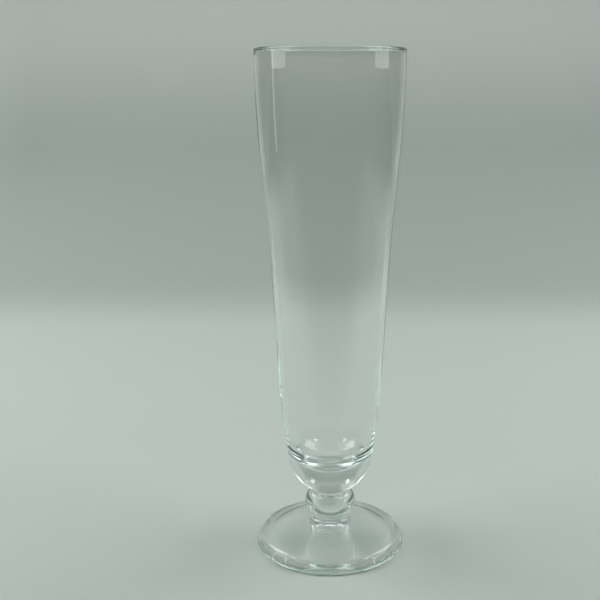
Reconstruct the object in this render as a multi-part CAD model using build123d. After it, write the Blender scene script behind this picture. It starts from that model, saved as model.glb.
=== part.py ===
from build123d import *
import math
import os

# A tall footed pilsner glass in clear glass: a tapered bowl on a solid round base, a bead,
# and a thick conical foot. The three pieces are fused to each other on flat round faces.
# Millimetres, +Z up. The origin is the middle of the plane that the glass stands on.

# Neck: the narrowest ring, where one piece is fused to the next
neck_radius = 8.3
neck_fillet = 0.8
neck_land = 0.2

# Foot
foot_radius = 35.5
foot_edge_height = 5.8
foot_edge_lean = 25.0
foot_toe_round = 1.0
foot_shoulder_round = 3.5
foot_top_slope = 16.3
foot_hub_fillet = 2.0
foot_ring_width = 1.2
foot_hollow_depth = 6.8

# Bead
bead_radius = 12.1
bead_round = 6.8

# Bowl: the wall rises from the bead through four stations, each so far above the last
base_to_lower = 77.0
lower_to_middle = 50.0
middle_to_upper = 40.0
upper_to_rim = 40.0
lower_radius = 25.4
middle_radius = 28.3
upper_radius = 31.9
rim_radius = 33.3
rim_wall = 1.3
base_wall = 2.6

# Base of the bowl: a solid round underside and a cupped floor
sham_radius = 20.0
sham_shoulder_angle = 9.5
floor_thickness = 12.7
floor_rise = 15.0

# Foot: corners of the section, worked out from the widest radius and the two slopes
edge_lean = math.radians(foot_edge_lean)
top_slope = math.radians(foot_top_slope)
toe_overhang = foot_toe_round * ((1 + math.sin(edge_lean)) / math.cos(edge_lean) - 1)
toe_radius = foot_radius + toe_overhang
shoulder_radius = toe_radius - foot_edge_height * math.tan(edge_lean)
cone_top = foot_edge_height + (shoulder_radius - neck_radius) * math.tan(top_slope)
hub_tangent = foot_hub_fillet * math.tan((math.pi / 2 - top_slope) / 2)
foot_height = cone_top + hub_tangent + neck_land
toe_tangent = foot_toe_round / math.tan((math.pi / 2 - edge_lean) / 2)
hollow_radius = toe_radius - toe_tangent - foot_ring_width

# Bead: the neck fillet touches the bead's own arc, which gives the height of the neck
bead_arc_centre = bead_radius - bead_round
neck_centre = neck_radius + neck_fillet
bead_reach = bead_round + neck_fillet
bead_half_height = math.sqrt(bead_reach**2 - (neck_centre - bead_arc_centre) ** 2)
bead_middle = foot_height + bead_half_height
bead_top = bead_middle + bead_half_height

# Bowl: heights of the stations above the bead, and the base that the neck fillet touches
lower_height = base_to_lower
middle_height = lower_height + lower_to_middle
upper_height = middle_height + middle_to_upper
bowl_height = upper_height + upper_to_rim
lip_round = rim_wall / 2
sham_reach = sham_radius + neck_fillet
sham_height = math.sqrt(sham_reach**2 - neck_centre**2)
floor_spring = floor_thickness + floor_rise


def wall_at(height):
    """Thickness of the bowl's wall, thinning evenly from the cupped floor up to the lip."""
    share = (height - floor_spring) / (bowl_height - floor_spring)
    return base_wall + (rim_wall - base_wall) * share


def make_foot():
    """Thick cone with a rounded edge, domed hollow below so that it stands on a ring."""
    with BuildPart() as foot:
        with BuildSketch(Plane.XZ):
            with BuildLine():
                TangentArc((0, foot_hollow_depth), (hollow_radius, 0), tangent=(1, 0))
                FilletPolyline(
                    (hollow_radius, 0),
                    (toe_radius, 0),
                    (shoulder_radius, foot_edge_height),
                    (neck_radius, cone_top),
                    (neck_radius, foot_height),
                    radius=(foot_toe_round, foot_shoulder_round, foot_hub_fillet),
                )
                Polyline((neck_radius, foot_height), (0, foot_height), (0, foot_hollow_depth))
            make_face()
        revolve(axis=Axis.Z)
    return foot.part


def make_bead():
    """Flattened ball between two fused faces, with half a neck fillet at each end."""
    along = bead_round / bead_reach
    touch_radius = bead_arc_centre + (neck_centre - bead_arc_centre) * along
    touch_height = bead_half_height * along
    below = (touch_radius, bead_middle - touch_height)
    above = (touch_radius, bead_middle + touch_height)
    with BuildPart() as bead:
        with BuildSketch(Plane.XZ):
            with BuildLine():
                Line((0, foot_height), (neck_radius, foot_height))
                TangentArc((neck_radius, foot_height), below, tangent=(0, 1))
                ThreePointArc(below, (bead_radius, bead_middle), above)
                TangentArc((neck_radius, bead_top), above, tangent=(0, -1))
                Polyline((neck_radius, bead_top), (0, bead_top), (0, foot_height))
            make_face()
        revolve(axis=Axis.Z)
    return bead.part


def make_bowl():
    """Thin tapered wall with a rounded lip, over a solid round base with a cupped floor."""
    # The neck fillet ends on the round underside, which ends where it leans as the wall does
    along = sham_radius / sham_reach
    touch_radius = neck_centre * along
    touch_height = sham_height * (1 - along)
    touch_angle = math.degrees(math.atan2(touch_height - sham_height, touch_radius))
    lean = math.radians(sham_shoulder_angle)
    shoulder = (sham_radius * math.cos(lean), sham_height - sham_radius * math.sin(lean))
    wall_start = (math.sin(lean), math.cos(lean))

    stations = (
        (lower_radius, lower_height),
        (middle_radius, middle_height),
        (upper_radius, upper_height),
        (rim_radius, bowl_height - lip_round),
    )
    inside = [(radius - wall_at(height), height) for radius, height in stations]

    # The cupped floor is part of an ellipse, cut off where it leans as much as the wall does
    spring_share = (floor_spring - shoulder[1]) / (lower_height - shoulder[1])
    floor_radius = shoulder[0] + (lower_radius - shoulder[0]) * spring_share - base_wall
    floor_cut = math.atan(math.tan(lean) * floor_rise / floor_radius)
    floor_edge = (floor_radius * math.cos(floor_cut), floor_spring - floor_rise * math.sin(floor_cut))

    with BuildPart() as bowl:
        with BuildSketch(Plane((0, 0, bead_top), x_dir=(1, 0, 0), z_dir=(0, -1, 0))):
            with BuildLine():
                Line((0, 0), (neck_radius, 0))
                TangentArc((neck_radius, 0), (touch_radius, touch_height), tangent=(0, 1))
                CenterArc((0, sham_height), sham_radius, touch_angle, -sham_shoulder_angle - touch_angle)
                Spline(shoulder, *stations, tangents=(wall_start, (0, 1)))
                ThreePointArc(stations[-1], (rim_radius - lip_round, bowl_height), inside[-1])
                Spline(floor_edge, *inside, tangents=(wall_start, (0, 1)))
                EllipticalCenterArc(
                    (0, floor_spring),
                    floor_radius,
                    floor_rise,
                    start_angle=270,
                    arc_size=90 - math.degrees(floor_cut),
                )
                Line((0, floor_thickness), (0, 0))
            make_face()
        revolve(axis=Axis.Z)
    return bowl.part


os.makedirs("parts", exist_ok=True)
for node, piece in (("foot", make_foot()), ("bead", make_bead()), ("bowl", make_bowl())):
    export_step(piece, f"parts/{node}.step")
    print(node, "volume", round(piece.volume / 1000, 2), "cm3")
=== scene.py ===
import logging
import math
from collections.abc import Sequence
from dataclasses import dataclass, field
from enum import Enum

import bpy
import numpy as np
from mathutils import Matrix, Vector


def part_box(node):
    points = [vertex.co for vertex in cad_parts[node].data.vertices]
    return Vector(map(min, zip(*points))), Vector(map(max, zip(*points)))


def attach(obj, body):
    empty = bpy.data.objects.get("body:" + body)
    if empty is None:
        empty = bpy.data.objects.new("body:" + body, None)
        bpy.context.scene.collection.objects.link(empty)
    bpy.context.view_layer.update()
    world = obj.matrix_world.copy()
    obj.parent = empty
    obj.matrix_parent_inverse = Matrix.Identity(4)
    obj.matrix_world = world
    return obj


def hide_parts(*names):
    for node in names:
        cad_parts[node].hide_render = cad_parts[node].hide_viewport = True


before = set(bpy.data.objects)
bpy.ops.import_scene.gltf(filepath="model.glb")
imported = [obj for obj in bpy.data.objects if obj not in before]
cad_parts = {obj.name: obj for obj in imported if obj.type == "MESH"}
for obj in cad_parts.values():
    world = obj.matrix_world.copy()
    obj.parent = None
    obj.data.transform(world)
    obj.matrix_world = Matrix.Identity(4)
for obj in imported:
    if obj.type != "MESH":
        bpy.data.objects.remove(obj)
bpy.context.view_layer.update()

log = logging.getLogger("footed_glass")

Point = tuple[float, float]
Colour = tuple[float, float, float, float]

BODY = "root"
GLASS_SLOT = "clear_glass"
TURNS = 192
SEAM_GAP = 0.00001


class Node(Enum):
    """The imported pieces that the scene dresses."""

    FOOT = "foot"
    BEAD = "bead"
    BOWL = "bowl"


class Skin(Enum):
    """What a stretch of a turned outline is on the finished glass."""

    POLISHED = 0.0
    FUSED = 1.0


class Side(Enum):
    """Which side of the glass a lamp stands on, seen from the camera."""

    LEFT = -1.0
    RIGHT = 1.0


def arc(centre: Point, radius: float, start: float, end: float, steps: int) -> np.ndarray:
    """Points along part of a circle in the half section.

    Args:
        centre: Radius and height of the circle's middle.
        radius: Radius of the circle.
        start: Angle of the first point, in radians from the outward direction.
        end: Angle of the last point.
        steps: Number of steps between the first point and the last.

    Returns:
        The points, one row each, as radius and height.
    """
    angles = np.linspace(start, end, steps + 1)
    return np.column_stack((centre[0] + radius * np.cos(angles), centre[1] + radius * np.sin(angles)))


def run(start: Point, end: Point, steps: int) -> np.ndarray:
    """Points along a straight run, from start to end in so many steps."""
    return np.linspace(start, end, steps + 1)


def smooth_curve(stations: np.ndarray, first: Point, last: Point, steps: int) -> np.ndarray:
    """Points along a smooth cubic curve through stations, with set directions at both ends.

    Args:
        stations: The points that the curve passes, one row each.
        first: Direction of the curve at its first station, of length one.
        last: Direction of the curve at its last station, of length one.
        steps: Number of steps between one station and the next.

    Returns:
        The points, one row each, as radius and height.
    """
    chords = np.linalg.norm(np.diff(stations, axis=0), axis=1)
    count = len(stations)
    system = np.eye(count)
    target = np.zeros((count, 2))
    target[0] = first
    target[-1] = last
    for i in range(1, count - 1):
        before, after = chords[i - 1], chords[i]
        system[i, i - 1:i + 2] = (after, 2 * (before + after), before)
        rise_before = (stations[i] - stations[i - 1]) / before
        rise_after = (stations[i + 1] - stations[i]) / after
        target[i] = 3 * (after * rise_before + before * rise_after)
    slopes = np.linalg.solve(system, target)

    share = np.linspace(0.0, 1.0, steps + 1)[:, None]
    pieces = []
    for i, chord in enumerate(chords):
        here, there = stations[i], stations[i + 1]
        leave, arrive = slopes[i] * chord, slopes[i + 1] * chord
        cubic = 2 * (here - there) + leave + arrive
        square = 3 * (there - here) - 2 * leave - arrive
        stretch = ((cubic * share + square) * share + leave) * share + here
        pieces.append(stretch if i == 0 else stretch[1:])
    return np.vstack(pieces)


@dataclass
class Outline:
    """Half section of a turned piece, from the axis out, up and back to the axis.

    Attributes:
        points: Radius and height of each point.
        skins: What the stretch that ends at each point is. The first entry stands for nothing.
    """

    points: list[Point] = field(default_factory=list)
    skins: list[Skin] = field(default_factory=list)

    def carry_on(self, stretch: np.ndarray, skin: Skin = Skin.POLISHED) -> None:
        """Lengthen the outline by a stretch that starts where the outline ends.

        Args:
            stretch: Points along the stretch, one row each.
            skin: What that stretch is on the finished glass.
        """
        fresh = stretch[1:] if self.points else stretch
        self.points += [(float(radius), float(height)) for radius, height in fresh]
        self.skins += [skin] * len(fresh)

    def spin(self, name: str, ripple: np.ndarray | None = None) -> bpy.types.Object:
        """Turn the outline about the vertical axis into a closed mesh.

        Args:
            name: Name of the new object.
            ripple: What to add to the radius, for each point of the outline and each angle.

        Returns:
            The new object, linked to the scene, with smooth faces and sharp fused edges.
        """
        angles = np.arange(TURNS) * (math.tau / TURNS)
        vertices: list[tuple[float, float, float]] = []
        rings: list[np.ndarray] = []
        for i, (radius, height) in enumerate(self.points):
            first = len(vertices)
            if radius < SEAM_GAP:
                vertices.append((0.0, 0.0, height))
                rings.append(np.full(TURNS, first))
                continue
            radii = np.full(TURNS, radius) if ripple is None else radius + ripple[i]
            vertices += zip(radii * np.cos(angles), radii * np.sin(angles), np.full(TURNS, height))
            rings.append(np.arange(first, first + TURNS))

        faces: list[tuple[int, ...]] = []
        fused: list[float] = []
        for i in range(1, len(rings)):
            below, above = rings[i - 1], rings[i]
            quads = np.column_stack((below, np.roll(below, -1), np.roll(above, -1), above))
            faces += [tuple(dict.fromkeys(quad)) for quad in quads.tolist()]
            fused += [self.skins[i].value] * TURNS

        mesh = bpy.data.meshes.new(name)
        mesh.from_pydata(vertices, [], faces)
        mesh.attributes.new("fused", "FLOAT", "FACE").data.foreach_set("value", fused)
        mesh.polygons.foreach_set("use_smooth", [True] * len(faces))
        self._sharpen(mesh, rings)
        mesh.validate()
        piece = bpy.data.objects.new(name, mesh)
        bpy.context.scene.collection.objects.link(piece)
        return piece

    def _sharpen(self, mesh: bpy.types.Mesh, rings: Sequence[np.ndarray]) -> None:
        """Mark the round edges where a fused face ends as sharp.

        Args:
            mesh: The turned mesh.
            rings: Numbers of the vertices that each point of the outline became.
        """
        ring_of = np.zeros(len(mesh.vertices), int)
        for i, ring in enumerate(rings):
            ring_of[ring] = i
        ends = np.zeros(len(mesh.edges) * 2, int)
        mesh.edges.foreach_get("vertices", ends)
        ends = ring_of[ends.reshape(-1, 2)]
        corners = [i for i in range(1, len(rings) - 1) if self.skins[i] is not self.skins[i + 1]]
        sharp = (ends[:, 0] == ends[:, 1]) & np.isin(ends[:, 0], corners)
        mesh.attributes.new("sharp_edge", "BOOLEAN", "EDGE").data.foreach_set("value", sharp)


class Graph:
    """Short ways to add and join the nodes of a material or world.

    Args:
        tree: The node tree to add to.
    """

    def __init__(self, tree: bpy.types.NodeTree) -> None:
        """Keep the tree."""
        self.tree = tree

    def add(self, kind: str, **values: object) -> bpy.types.Node:
        """Add a node.

        Args:
            kind: Node type, without the word before it that all shader nodes share.
            values: Settings of the node.

        Returns:
            The new node.
        """
        node = self.tree.nodes.new(f"ShaderNode{kind}")
        for name, value in values.items():
            setattr(node, name, value)
        return node

    def feed(self, socket: bpy.types.NodeSocket, source: object) -> None:
        """Join a source to a socket, or set the socket's own value.

        Args:
            socket: Socket to feed.
            source: Output socket of another node, or a plain value.
        """
        if isinstance(source, bpy.types.NodeSocket):
            self.tree.links.new(source, socket)
        else:
            socket.default_value = source

    def sum_up(self, operation: str, first: object, second: object = 0.0) -> bpy.types.NodeSocket:
        """Work out one number from two.

        Args:
            operation: Name of the operation.
            first: First number or socket.
            second: Second number or socket.

        Returns:
            The socket with the result.
        """
        node = self.add("Math", operation=operation)
        self.feed(node.inputs[0], first)
        self.feed(node.inputs[1], second)
        return node.outputs[0]

    def rise(self, source: object, start: float, end: float) -> bpy.types.NodeSocket:
        """Go softly from 0 to 1 while a number goes from start to end.

        Args:
            source: The number.
            start: Where the rise starts.
            end: Where it ends, which may be below start.

        Returns:
            The socket with the result.
        """
        node = self.add("MapRange", interpolation_type="SMOOTHSTEP")
        self.feed(node.inputs["Value"], source)
        self.feed(node.inputs["From Min"], start)
        self.feed(node.inputs["From Max"], end)
        return node.outputs["Result"]

    def blend(self, share: object, first: object, second: object) -> bpy.types.NodeSocket:
        """Mix two colours.

        Args:
            share: Share of the second colour.
            first: First colour.
            second: Second colour.

        Returns:
            The socket with the mixed colour.
        """
        node = self.add("Mix", data_type="RGBA")
        self.feed(node.inputs["Factor"], share)
        self.feed(node.inputs["A"], first)
        self.feed(node.inputs["B"], second)
        return node.outputs["Result"]

    def seen_straight(self, glow: float = 0.0) -> bpy.types.NodeSocket:
        """Tell whether a ray comes from the camera, straight or through glass, without a reflection.

        Args:
            glow: What to give for a ray that was reflected inside the glass.

        Returns:
            The socket that is 1 for a ray without a reflection.
        """
        path = self.add("LightPath")
        direct, through = path.outputs["Is Camera Ray"], path.outputs["Is Transmission Ray"]
        looks = self.sum_up("MAXIMUM", direct, through)
        plain = self.sum_up("LESS_THAN", path.outputs["Glossy Depth"], 0.5)
        lit = self.sum_up("LESS_THAN", path.outputs["Diffuse Depth"], 0.5)
        share = self.sum_up("MAXIMUM", plain, glow)
        return self.sum_up("MULTIPLY", looks, self.sum_up("MULTIPLY", share, lit))


@dataclass(frozen=True)
class ClearGlass:
    """Colourless drinking glass, faint green in its thick parts and a little worn where it stands.

    Attributes:
        surface_tint: Colour of the light that crosses the surface.
        bend: Refractive index.
        depth_tint: Colour that deep glass turns light to.
        depth_density: How fast it does so, per metre.
        ring_wear: Roughness of the ring that the glass stands on.
        ring_height: Height up to which that ring is worn.
    """

    surface_tint: Colour = (0.975, 0.980, 0.977, 1.0)
    bend: float = 1.5
    depth_tint: Colour = (0.55, 0.93, 0.83, 1.0)
    depth_density: float = 3.2
    ring_wear: float = 0.15
    ring_height: float = 0.0004

    def material(self) -> bpy.types.Material:
        """Build the finish.

        Returns:
            A node material for every piece of the glass.
        """
        material = bpy.data.materials.new(GLASS_SLOT)
        material.use_nodes = True
        graph = Graph(material.node_tree)
        shader = material.node_tree.nodes["Principled BSDF"]
        shader.inputs["Base Color"].default_value = self.surface_tint
        shader.inputs["Transmission Weight"].default_value = 1.0

        # A fused face has glass on both sides, so light crosses it unbent
        fused = graph.add("Attribute", attribute_name="fused")
        bend = graph.add("MapRange")
        graph.feed(bend.inputs["Value"], fused.outputs["Fac"])
        graph.feed(bend.inputs["To Min"], self.bend)
        graph.feed(bend.inputs["To Max"], 1.0)
        graph.feed(shader.inputs["IOR"], bend.outputs["Result"])

        axes = graph.add("SeparateXYZ")
        graph.feed(axes.inputs["Vector"], graph.add("TexCoord").outputs["Object"])
        worn = graph.rise(axes.outputs["Z"], self.ring_height, 0.0)
        graph.feed(shader.inputs["Roughness"], graph.sum_up("MULTIPLY", worn, self.ring_wear))

        depth = graph.add("VolumeAbsorption")
        depth.inputs["Color"].default_value = self.depth_tint
        depth.inputs["Density"].default_value = self.depth_density
        output = material.node_tree.nodes["Material Output"]
        graph.feed(output.inputs["Volume"], depth.outputs["Volume"])
        return material


@dataclass
class Neck:
    """Narrow ring where one piece is fused to the next.

    Attributes:
        radius: Radius of the fused face.
        fillet: Radius of the round between the fused face and a bulge.
        steps: Steps along each fillet.
    """

    radius: float = 0.0083
    fillet: float = 0.0008
    steps: int = 6

    @property
    def centre(self) -> float:
        """Radius of the ring of fillet centres."""
        return self.radius + self.fillet

    def face(self, height: float, outward: bool) -> np.ndarray:
        """Points across the fused face, away from the axis or towards it.

        Args:
            height: Height of the face.
            outward: Whether the points run away from the axis.

        Returns:
            The points, one row each.
        """
        ends = ((0.0, height), (self.radius, height))
        return run(*(ends if outward else ends[::-1]), 4)


@dataclass
class GlassPiece:
    """One fused piece of the glass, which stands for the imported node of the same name.

    Attributes:
        node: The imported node.
        neck: Sizes of the fused ring.
    """

    node: Node
    neck: Neck

    def outline(self) -> Outline:
        """Half section of the piece."""
        raise NotImplementedError

    def ripple(self, outline: Outline) -> np.ndarray | None:
        """Unevenness of the surface, which a plain piece has none of."""
        return None

    def build(self) -> bpy.types.Object:
        """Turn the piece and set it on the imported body.

        Returns:
            The piece's object.
        """
        outline = self.outline()
        piece = outline.spin(f"glass_{self.node.value}", self.ripple(outline))
        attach(piece, BODY)
        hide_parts(self.node.value)
        return piece

    def dress(self, piece: bpy.types.Object, glass: bpy.types.Material) -> None:
        """Give the piece its finish."""
        piece.data.materials.append(glass)

    @property
    def low(self) -> float:
        """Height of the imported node's lowest point."""
        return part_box(self.node.value)[0].z

    @property
    def high(self) -> float:
        """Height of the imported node's highest point."""
        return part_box(self.node.value)[1].z

    @property
    def reach(self) -> float:
        """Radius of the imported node."""
        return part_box(self.node.value)[1].x


@dataclass
class Foot(GlassPiece):
    """Thick conical foot, domed hollow below so that it stands on a ring.

    Attributes:
        edge_height: Height at which the edge would meet the top's slope.
        edge_lean: Lean of the edge from upright, in degrees.
        toe_round: Radius at the bottom of the edge.
        shoulder_round: Radius at the top of the edge.
        top_slope: Slope of the top, in degrees.
        hub_fillet: Radius where the top turns up to the neck.
        land: Straight height below the fused face.
        ring_width: Width of the ring that the foot stands on.
        hollow_depth: Depth of the hollow at the axis.
    """

    edge_height: float = 0.0058
    edge_lean: float = 25.0
    toe_round: float = 0.0010
    shoulder_round: float = 0.0035
    top_slope: float = 16.3
    hub_fillet: float = 0.0020
    land: float = 0.0002
    ring_width: float = 0.0012
    hollow_depth: float = 0.0068

    def outline(self) -> Outline:
        """Half section of the foot."""
        lean = math.radians(self.edge_lean)
        slope = math.radians(self.top_slope)
        top = self.high - SEAM_GAP / 2

        # Circle at the toe, which touches the table and the leaning edge
        toe = (self.reach - self.toe_round, self.toe_round)
        toe_corner = toe[0] + self.toe_round * (1 + math.sin(lean)) / math.cos(lean)
        toe_tangent = self.toe_round / math.tan((math.pi / 2 - lean) / 2)
        ring_inner = toe_corner - toe_tangent - self.ring_width

        # Circle at the shoulder, which touches the edge and the sloping top
        corner = (toe_corner - self.edge_height * math.tan(lean), self.edge_height)
        turn = math.pi / 2 - lean - slope
        reach = self.shoulder_round / math.cos(turn / 2)
        towards = lean + turn / 2
        shoulder = (corner[0] - reach * math.cos(towards), corner[1] - reach * math.sin(towards))

        # Circle at the hub, which touches the sloping top and the neck
        hub = (self.neck.radius + self.hub_fillet, self.high - self.land)
        hollow_round = (ring_inner**2 + self.hollow_depth**2) / (2 * self.hollow_depth)
        hollow_angle = math.asin(ring_inner / hollow_round)
        hollow_middle = (0.0, self.hollow_depth - hollow_round)

        outline = Outline()
        outline.carry_on(arc(hollow_middle, hollow_round, math.pi / 2, math.pi / 2 - hollow_angle, 12))
        outline.carry_on(run((ring_inner, 0.0), (toe[0], 0.0), 6))
        outline.carry_on(arc(toe, self.toe_round, -math.pi / 2, lean, 14))
        outline.carry_on(run(outline.points[-1], self._on(shoulder, self.shoulder_round, lean), 4))
        outline.carry_on(arc(shoulder, self.shoulder_round, lean, math.pi / 2 - slope, 16))
        hub_start = self._on(hub, self.hub_fillet, -math.pi / 2 - slope)
        outline.carry_on(run(outline.points[-1], hub_start, 16))
        outline.carry_on(arc(hub, self.hub_fillet, -math.pi / 2 - slope, -math.pi, 12))
        outline.carry_on(run(outline.points[-1], (self.neck.radius, top), 1))
        outline.carry_on(self.neck.face(top, outward=False), Skin.FUSED)
        return outline

    @staticmethod
    def _on(centre: Point, radius: float, angle: float) -> Point:
        """Point of a circle at an angle."""
        return centre[0] + radius * math.cos(angle), centre[1] + radius * math.sin(angle)


@dataclass
class Bead(GlassPiece):
    """Flattened ball between the foot and the bowl.

    Attributes:
        round: Radius of the bead's own arc.
        steps: Steps along that arc.
    """

    round: float = 0.0068
    steps: int = 40

    def outline(self) -> Outline:
        """Half section of the bead."""
        low, high = self.low + SEAM_GAP / 2, self.high - SEAM_GAP / 2
        middle = (self.reach - self.round, (self.low + self.high) / 2)
        turn = math.atan2(middle[1] - self.low, middle[0] - self.neck.centre)
        side = math.pi - turn
        below = (self.neck.centre, self.low)
        above = (self.neck.centre, self.high)

        outline = Outline()
        outline.carry_on(self.neck.face(low, outward=True), Skin.FUSED)
        outline.carry_on(arc(below, self.neck.fillet, math.pi, turn, self.neck.steps))
        outline.carry_on(arc(middle, self.round, -side, side, self.steps))
        outline.carry_on(arc(above, self.neck.fillet, math.tau - turn, math.pi, self.neck.steps))
        outline.points[-1] = (self.neck.radius, high)
        outline.carry_on(self.neck.face(high, outward=False), Skin.FUSED)
        return outline


@dataclass
class Bowl(GlassPiece):
    """Tall tapered bowl with a rounded lip over a solid round base and a cupped floor.

    Attributes:
        stations: Radius and height above the fused face of the wall's stations below the rim.
        rim_wall: Thickness of the wall at the lip.
        base_wall: Thickness of the wall where it leaves the cupped floor.
        sham_radius: Radius of the solid round underside.
        sham_lean: Lean of the wall where it leaves the underside, in degrees.
        floor_thickness: Glass below the middle of the floor.
        floor_rise: Depth of the cupped floor.
        draw_depth: Depth of the faint upright draw lines inside the wall.
        draw_waves: Number round the glass and start angle of each wave of the draw lines.
        draw_fade: Height over which the draw lines start above the floor.
    """

    stations: tuple[Point, ...] = ((0.0254, 0.077), (0.0283, 0.127), (0.0319, 0.167))
    rim_wall: float = 0.0013
    base_wall: float = 0.0026
    sham_radius: float = 0.020
    sham_lean: float = 9.5
    floor_thickness: float = 0.0127
    floor_rise: float = 0.0150
    draw_depth: float = 0.00006
    draw_waves: tuple[tuple[int, float], ...] = ((3, 0.4), (7, 1.9), (13, 0.8), (19, 2.6))
    draw_fade: float = 0.030

    def outline(self) -> Outline:
        """Half section of the bowl."""
        seat = self.low + SEAM_GAP / 2
        lean = math.radians(self.sham_lean)
        sham_reach = self.sham_radius + self.neck.fillet
        sham = (0.0, self.low + math.sqrt(sham_reach**2 - self.neck.centre**2))
        touch = math.atan2(self.low - sham[1], self.neck.centre)
        shoulder = (self.sham_radius * math.cos(lean), sham[1] - self.sham_radius * math.sin(lean))
        upward = (math.sin(lean), math.cos(lean))

        lip = self.rim_wall / 2
        outside = [(radius, self.low + height) for radius, height in self.stations]
        outside.append((self.reach, self.high - lip))
        inside = [(radius - self.wall_at(height), height) for radius, height in outside]

        # The floor is part of an ellipse, cut off where it leans as much as the wall does
        share = (self.spring - shoulder[1]) / (outside[0][1] - shoulder[1])
        floor_radius = shoulder[0] + (outside[0][0] - shoulder[0]) * share - self.base_wall
        cut = math.atan(math.tan(lean) * self.floor_rise / floor_radius)
        floor = arc((0.0, 0.0), 1.0, -cut, -math.pi / 2, 48)
        floor = floor * (floor_radius, self.floor_rise) + (0.0, self.spring)

        outline = Outline()
        outline.carry_on(self.neck.face(seat, outward=True), Skin.FUSED)
        fillet = (self.neck.centre, self.low)
        outline.carry_on(arc(fillet, self.neck.fillet, math.pi, math.pi + touch, self.neck.steps))
        outline.carry_on(arc(sham, self.sham_radius, touch, -lean, 40))
        outline.carry_on(smooth_curve(np.array([shoulder, *outside]), upward, (0.0, 1.0), 12))
        lip_middle = (self.reach - lip, self.high - lip)
        outline.carry_on(arc(lip_middle, lip, 0.0, math.pi, 12))
        wall = smooth_curve(np.array([floor[0], *inside]), upward, (0.0, 1.0), 12)
        outline.carry_on(wall[::-1])
        outline.carry_on(floor)
        outline.points[-1] = (0.0, outline.points[-1][1])
        return outline

    def ripple(self, outline: Outline) -> np.ndarray:
        """Faint upright draw lines inside the wall, which fade out at the lip and at the floor.

        Args:
            outline: Half section of the bowl.

        Returns:
            What to add to the radius, for each point of the outline and each angle.
        """
        heights = np.array([height for _, height in outline.points])
        inside = np.arange(len(heights)) > np.argmax(heights)
        fade_in = np.clip((heights - self.spring) / self.draw_fade, 0.0, 1.0)
        fade_out = np.clip((self.high - heights) / self.rim_wall, 0.0, 1.0)
        angles = np.arange(TURNS) * (math.tau / TURNS)
        waves = np.zeros(TURNS)
        for count, start in self.draw_waves:
            waves += np.cos(count * angles + start) / math.sqrt(count)
        return self.draw_depth * np.outer(inside * fade_in * fade_out, waves)

    @property
    def spring(self) -> float:
        """Height at which the cupped floor would stand upright."""
        return self.low + self.floor_thickness + self.floor_rise

    def wall_at(self, height: float) -> float:
        """Thickness of the wall at a height, thinning evenly from the cupped floor to the lip.

        Args:
            height: Height in the frame.

        Returns:
            The thickness in metres.
        """
        share = (height - self.spring) / (self.high - self.spring)
        return self.base_wall + (self.rim_wall - self.base_wall) * share


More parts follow.
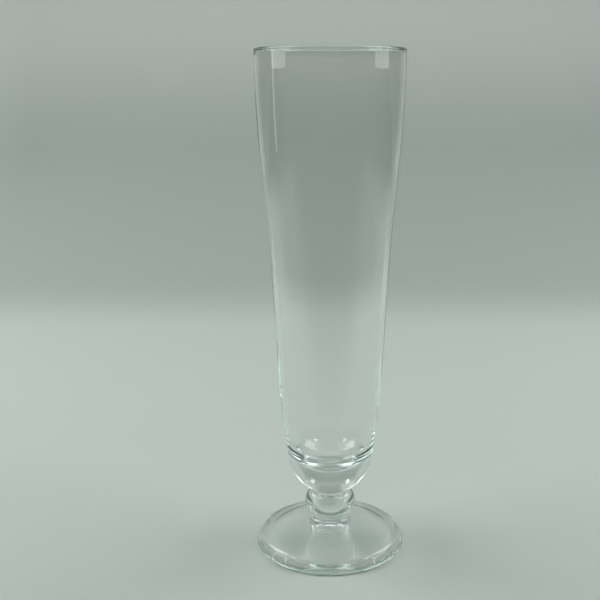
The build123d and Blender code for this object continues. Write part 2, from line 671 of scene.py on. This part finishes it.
@dataclass(frozen=True)
class StudioPaper:
    """Pale matt paper of the floor and backdrop, with painted shade and painted light on the backdrop.

    Far from the glass the paper is a plain pale ground to the eye, and to reflections a painted shade
    that stands for dim surroundings.

    Attributes:
        colour: Colour of the floor.
        backdrop: Painted shade: colour of the backdrop just above the floor, darker than the floor
            though it is the same paper.
        upper_light: Painted light: colour of the backdrop further up, paler than the floor though it is
            the same paper.
        room_shade: Painted shade that the paper turns to away from the glass, so that reflections show
            dim surroundings.
        back_start: Distance behind the glass where the floor's colour starts to turn to the backdrop's
            painted shade.
        back_end: Distance where it ends.
        upper_start: Height where the backdrop's painted shade starts to go over to its painted light.
        upper_end: Height where it ends.
        front_start: Distance in front of the glass where the painted shade starts.
        front_end: Distance where the paper has gone.
        side_start: Distance beside the glass where the painted shade starts.
        side_end: Distance where the paper has gone.
        plain_start: Distance beside the glass where the plain ground to the eye starts.
        plain_end: Distance where nothing but the plain ground is seen.
        ahead_start: Distance in front of the glass where the plain ground to the eye starts.
        ahead_end: Distance where nothing but the plain ground is seen.
        glow: Share of the plain ground that light reflected inside the glass shows.
    """

    colour: Colour = (0.456, 0.514, 0.479, 1.0)
    backdrop: Colour = (0.360, 0.408, 0.381, 1.0)
    upper_light: Colour = (0.560, 0.605, 0.580, 1.0)
    room_shade: Colour = (0.03, 0.033, 0.031, 1.0)
    back_start: float = 0.36
    back_end: float = 0.50
    upper_start: float = 0.10
    upper_end: float = 0.27
    front_start: float = 0.16
    front_end: float = 0.42
    side_start: float = 0.50
    side_end: float = 0.75
    plain_start: float = 0.32
    plain_end: float = 0.48
    ahead_start: float = 0.06
    ahead_end: float = 0.15
    glow: float = 0.06

    def material(self) -> bpy.types.Material:
        """Build the finish.

        Returns:
            A node material for the sweep.
        """
        material = bpy.data.materials.new("studio_paper")
        material.use_nodes = True
        material.cycles.emission_sampling = "NONE"
        graph = Graph(material.node_tree)
        axes = graph.add("SeparateXYZ")
        graph.feed(axes.inputs["Vector"], graph.add("TexCoord").outputs["Object"])
        beside = graph.sum_up("ABSOLUTE", axes.outputs["X"])
        back = graph.rise(axes.outputs["Y"], self.back_start, self.back_end)
        front = graph.rise(axes.outputs["Y"], -self.front_end, -self.front_start)
        inside = graph.rise(beside, self.side_end, self.side_start)
        near = graph.sum_up("MULTIPLY", front, graph.sum_up("MAXIMUM", inside, back))
        above = graph.rise(axes.outputs["Z"], self.upper_start, self.upper_end)
        # Painted shade and light: the backdrop is painted darker than the floor just above it and paler
        # further up, though floor and backdrop are one sheet of paper.
        floor_and_painted_backdrop = graph.blend(back, self.colour, graph.blend(above, self.backdrop, self.upper_light))

        paper = material.node_tree.nodes["Principled BSDF"]
        paper.inputs["Roughness"].default_value = 0.9
        paper.inputs["Specular IOR Level"].default_value = 0.0
        # Painted shade: away from the glass the paper turns dark, so that reflections show dim
        # surroundings.
        graph.feed(paper.inputs["Base Color"], graph.blend(near, self.room_shade, floor_and_painted_backdrop))
        ground = graph.add("Emission")
        graph.feed(ground.inputs["Color"], self.colour)
        ahead = graph.rise(axes.outputs["Y"], -self.ahead_start, -self.ahead_end)
        far = graph.sum_up("MAXIMUM", ahead, graph.rise(beside, self.plain_start, self.plain_end))
        surface = graph.add("MixShader")
        graph.feed(surface.inputs[0], graph.sum_up("MULTIPLY", far, graph.seen_straight(self.glow)))
        graph.feed(surface.inputs[1], paper.outputs["BSDF"])
        graph.feed(surface.inputs[2], ground.outputs["Emission"])
        output = material.node_tree.nodes["Material Output"]
        graph.feed(output.inputs["Surface"], surface.outputs["Shader"])
        return material


@dataclass
class StudioSweep:
    """Paper sweep that is floor and backdrop in one.

    Attributes:
        half_width: Reach of the paper to each side.
        front: Reach of the floor in front of the glass.
        bend_start: Distance behind the glass at which the floor starts to rise.
        bend_radius: Radius of the rise.
        height: Height of the backdrop.
        clearance: How far the paper lies below the foot.
    """

    half_width: float = 6.0
    front: float = 6.0
    bend_start: float = 0.42
    bend_radius: float = 0.35
    height: float = 3.0
    clearance: float = 0.00005

    def build(self) -> bpy.types.Object:
        """Make the sweep.

        Returns:
            The sweep's object.
        """
        bend = arc((self.bend_start, self.bend_radius), self.bend_radius, -math.pi / 2, 0.0, 32)
        section = [(-self.front, 0.0), *bend.tolist(), (bend[-1][0], self.height)]
        vertices = []
        for across in (-self.half_width, self.half_width):
            vertices += [(across, along, up - self.clearance) for along, up in section]
        count = len(section)
        faces = [(i + count, i + count + 1, i + 1, i) for i in range(count - 1)]
        mesh = bpy.data.meshes.new("studio_sweep")
        mesh.from_pydata(vertices, [], faces)
        mesh.polygons.foreach_set("use_smooth", [True] * len(faces))
        sweep = bpy.data.objects.new("studio_sweep", mesh)
        bpy.context.scene.collection.objects.link(sweep)
        return sweep

    def dress(self, sweep: bpy.types.Object, paper: StudioPaper) -> None:
        """Give the sweep its paper."""
        sweep.data.materials.append(paper.material())


@dataclass
class SoftLamp:
    """Flat soft lamp that faces the glass.

    Attributes:
        name: Name of the lamp.
        place: Middle of the lit face.
        size: Width of the lit face, and its height where no other is given.
        power: Power in watts.
        height: Height of an oblong face.
        aim: Point that the lamp faces.
        unseen: Whether the lamp shows as a reflection only, and not through the glass.
    """

    name: str
    place: tuple[float, float, float]
    size: float
    power: float
    height: float = 0.0
    aim: tuple[float, float, float] = (0.0, 0.0, 0.10)
    unseen: bool = False

    def build(self) -> bpy.types.Object:
        """Set up the lamp.

        Returns:
            The lamp's object.
        """
        lamp = bpy.data.lights.new(self.name, "AREA")
        lamp.shape = "RECTANGLE"
        lamp.size = self.size
        lamp.size_y = self.height or self.size
        lamp.energy = self.power
        holder = bpy.data.objects.new(self.name, lamp)
        holder.location = self.place
        facing = Vector(self.aim) - holder.location
        holder.rotation_euler = facing.to_track_quat("-Z", "Y").to_euler()
        holder.visible_camera = False
        holder.visible_transmission = not self.unseen
        bpy.context.scene.collection.objects.link(holder)
        return holder


@dataclass
class StudioLight:
    """Soft panels beside and above the stage, and a small bright lamp high on each side.

    Attributes:
        panel_turn: Turn of a side panel from straight behind the glass, in degrees.
        panel_rise: Rise of a side panel above the table, in degrees.
        panel_distance: Distance of a side panel.
        panel_size: Side of a side panel.
        panel_power: Power of a side panel in watts.
        bulb_turn: Turn of a small lamp from straight behind the glass, in degrees.
        bulb_rise: Rise of a small lamp above the table, in degrees.
        bulb_distance: Distance of a small lamp.
        bulb_size: Side of a small lamp.
        bulb_power: Power of a small lamp in watts.
        wing: Place of the right wing behind the glass, out of the picture.
        wing_size: Width and height of a wing.
        wing_power: Power of a wing in watts.
        window: Place of the right window beside the glass.
        window_size: Width and height of a window.
        window_power: Power of a window in watts.
        strip: Place of the one strip, at the left.
        strip_size: Width and height of the strip.
        strip_power: Power of the strip in watts.
        roof_height: Height of the panels above the stage.
        roof_reach: Distance of a roof panel from the one in the middle.
        roof_back: Distance of the roof panels at the sides behind the glass.
        roof_size: Side of a roof panel.
        roof_power: Power of a roof panel at the left and at the right, in watts.
        middle_power: Power of a roof panel in front, in the middle and behind, in watts.
    """

    panel_turn: float = 67.0
    panel_rise: float = 42.0
    panel_distance: float = 0.85
    panel_size: float = 0.40
    panel_power: float = 2.05
    bulb_turn: float = 104.0
    bulb_rise: float = 50.0
    bulb_distance: float = 1.0
    bulb_size: float = 0.16
    bulb_power: float = 0.75
    wing: tuple[float, float, float] = (0.44, 0.52, 0.26)
    wing_size: tuple[float, float] = (0.26, 0.46)
    wing_power: float = 0.09
    window: tuple[float, float, float] = (0.80, -0.12, 0.31)
    window_size: tuple[float, float] = (0.40, 0.28)
    window_power: float = 0.9
    strip: tuple[float, float, float] = (-0.80, 0.04, 0.17)
    strip_size: tuple[float, float] = (0.05, 0.32)
    strip_power: float = 0.10
    roof_height: float = 1.2
    roof_reach: float = 0.85
    roof_back: float = 0.25
    roof_size: float = 0.9
    roof_power: tuple[float, float] = (4.85, 3.4)
    middle_power: tuple[float, float, float] = (1.0, 0.3, 2.35)

    def place(self, turn: float, rise: float, distance: float) -> tuple[float, float, float]:
        """Find a point round the glass.

        Args:
            turn: Turn to the right from straight behind the glass, in degrees.
            rise: Rise above the table, in degrees.
            distance: Distance from the glass.

        Returns:
            The point.
        """
        level = distance * math.cos(math.radians(rise))
        across = level * math.sin(math.radians(turn))
        behind = level * math.cos(math.radians(turn))
        return (across, behind, distance * math.sin(math.radians(rise)))

    def lamps(self) -> list[SoftLamp]:
        """List the lamps.

        Returns:
            All lamps of the set.
        """
        found = []
        for side, roof_power in zip(Side, self.roof_power):
            name = side.name.lower()
            panel = self.place(side.value * self.panel_turn, self.panel_rise, self.panel_distance)
            bulb = self.place(side.value * self.bulb_turn, self.bulb_rise, self.bulb_distance)
            wing = (side.value * self.wing[0], *self.wing[1:])
            window = (side.value * self.window[0], *self.window[1:])
            roof = (side.value * self.roof_reach, self.roof_back, self.roof_height)
            found.append(SoftLamp(f"panel_{name}", panel, self.panel_size, self.panel_power))
            found.append(SoftLamp(f"bulb_{name}", bulb, self.bulb_size, self.bulb_power))
            wide, high = self.wing_size
            found.append(SoftLamp(f"wing_{name}", wing, wide, self.wing_power, high, unseen=True))
            wide, high = self.window_size
            found.append(SoftLamp(f"window_{name}", window, wide, self.window_power, high, unseen=True))
            found.append(SoftLamp(f"roof_{name}", roof, self.roof_size, roof_power))
        wide, high = self.strip_size
        found.append(SoftLamp("strip", self.strip, wide, self.strip_power, high, unseen=True))
        for step, power in zip((-1, 0, 1), self.middle_power):
            roof = (0.0, step * self.roof_reach, self.roof_height)
            found.append(SoftLamp(f"roof_{step + 2}", roof, self.roof_size, power))
        return found


@dataclass
class Viewpoint:
    """Where the photograph was taken from.

    Attributes:
        distance: Distance from the glass's axis to the camera, along Y.
        height: Height of the camera.
        pitch: Downward tilt in degrees.
        lens: Focal length in millimetres on a full-frame sensor.
        axis_right: How far right of the middle the glass's axis lies, as a share of the frame.
    """

    distance: float = 0.46925
    height: float = 0.24822
    pitch: float = 15.093
    lens: float = 63.2
    axis_right: float = 0.0502

    def build(self) -> bpy.types.Object:
        """Set up the camera as the scene's own.

        Returns:
            The camera's object.
        """
        camera = bpy.data.cameras.new("photo_camera")
        camera.sensor_width = 36.0
        camera.lens = self.lens
        camera.shift_x = -self.axis_right
        camera.clip_start = 0.01
        camera.clip_end = 50.0
        holder = bpy.data.objects.new("photo_camera", camera)
        holder.location = (0.0, -self.distance, self.height)
        holder.rotation_euler = (math.radians(90.0 - self.pitch), 0.0, 0.0)
        bpy.context.scene.collection.objects.link(holder)
        bpy.context.scene.camera = holder
        return holder


@dataclass(frozen=True)
class DimRoom:
    """Room round the stage, pale to the eye and dim to reflections.

    Attributes:
        colour: Colour of the room.
        strength: Level of its light.
        ground: Colour that is seen beyond the paper.
        glow: Share of that ground that light reflected inside the glass shows.
    """

    colour: Colour = (0.9, 1.0, 0.95, 1.0)
    strength: float = 0.02
    ground: Colour = (0.456, 0.514, 0.479, 1.0)
    glow: float = 0.06

    def build(self) -> bpy.types.World:
        """Set the scene's world.

        Returns:
            The world.
        """
        world = bpy.data.worlds.new("dim_room")
        world.use_nodes = True
        graph = Graph(world.node_tree)
        dim = world.node_tree.nodes["Background"]
        dim.inputs["Color"].default_value = self.colour
        dim.inputs["Strength"].default_value = self.strength
        pale = graph.add("Background")
        pale.inputs["Color"].default_value = self.ground
        surface = graph.add("MixShader")
        graph.feed(surface.inputs[0], graph.seen_straight(self.glow))
        graph.feed(surface.inputs[1], dim.outputs["Background"])
        graph.feed(surface.inputs[2], pale.outputs["Background"])
        output = world.node_tree.nodes["World Output"]
        graph.feed(output.inputs["Surface"], surface.outputs["Shader"])
        bpy.context.scene.world = world
        return world


def set_light_paths() -> None:
    """Let light cross every wall of the glass, and show colours as they are."""
    scene = bpy.context.scene
    scene.view_settings.view_transform = "Standard"
    scene.cycles.max_bounces = 128
    scene.cycles.transmission_bounces = 128
    scene.cycles.glossy_bounces = 128
    scene.cycles.blur_glossy = 0.0


def main() -> None:
    """Build the glass, its stage and its light in order."""
    logging.basicConfig(level=logging.INFO, format="%(message)s")
    set_light_paths()
    glass = ClearGlass().material()
    neck = Neck()
    for part in (Foot(Node.FOOT, neck), Bead(Node.BEAD, neck), Bowl(Node.BOWL, neck)):
        piece = part.build()
        part.dress(piece, glass)
        log.info("%s: %d faces", piece.name, len(piece.data.polygons))

    sweep = StudioSweep()
    sweep.dress(sweep.build(), StudioPaper())
    log.info("studio sweep laid")
    for lamp in StudioLight().lamps():
        log.info("%s set", lamp.build().name)
    DimRoom().build()
    Viewpoint().build()


if __name__ == "__main__":
    main()
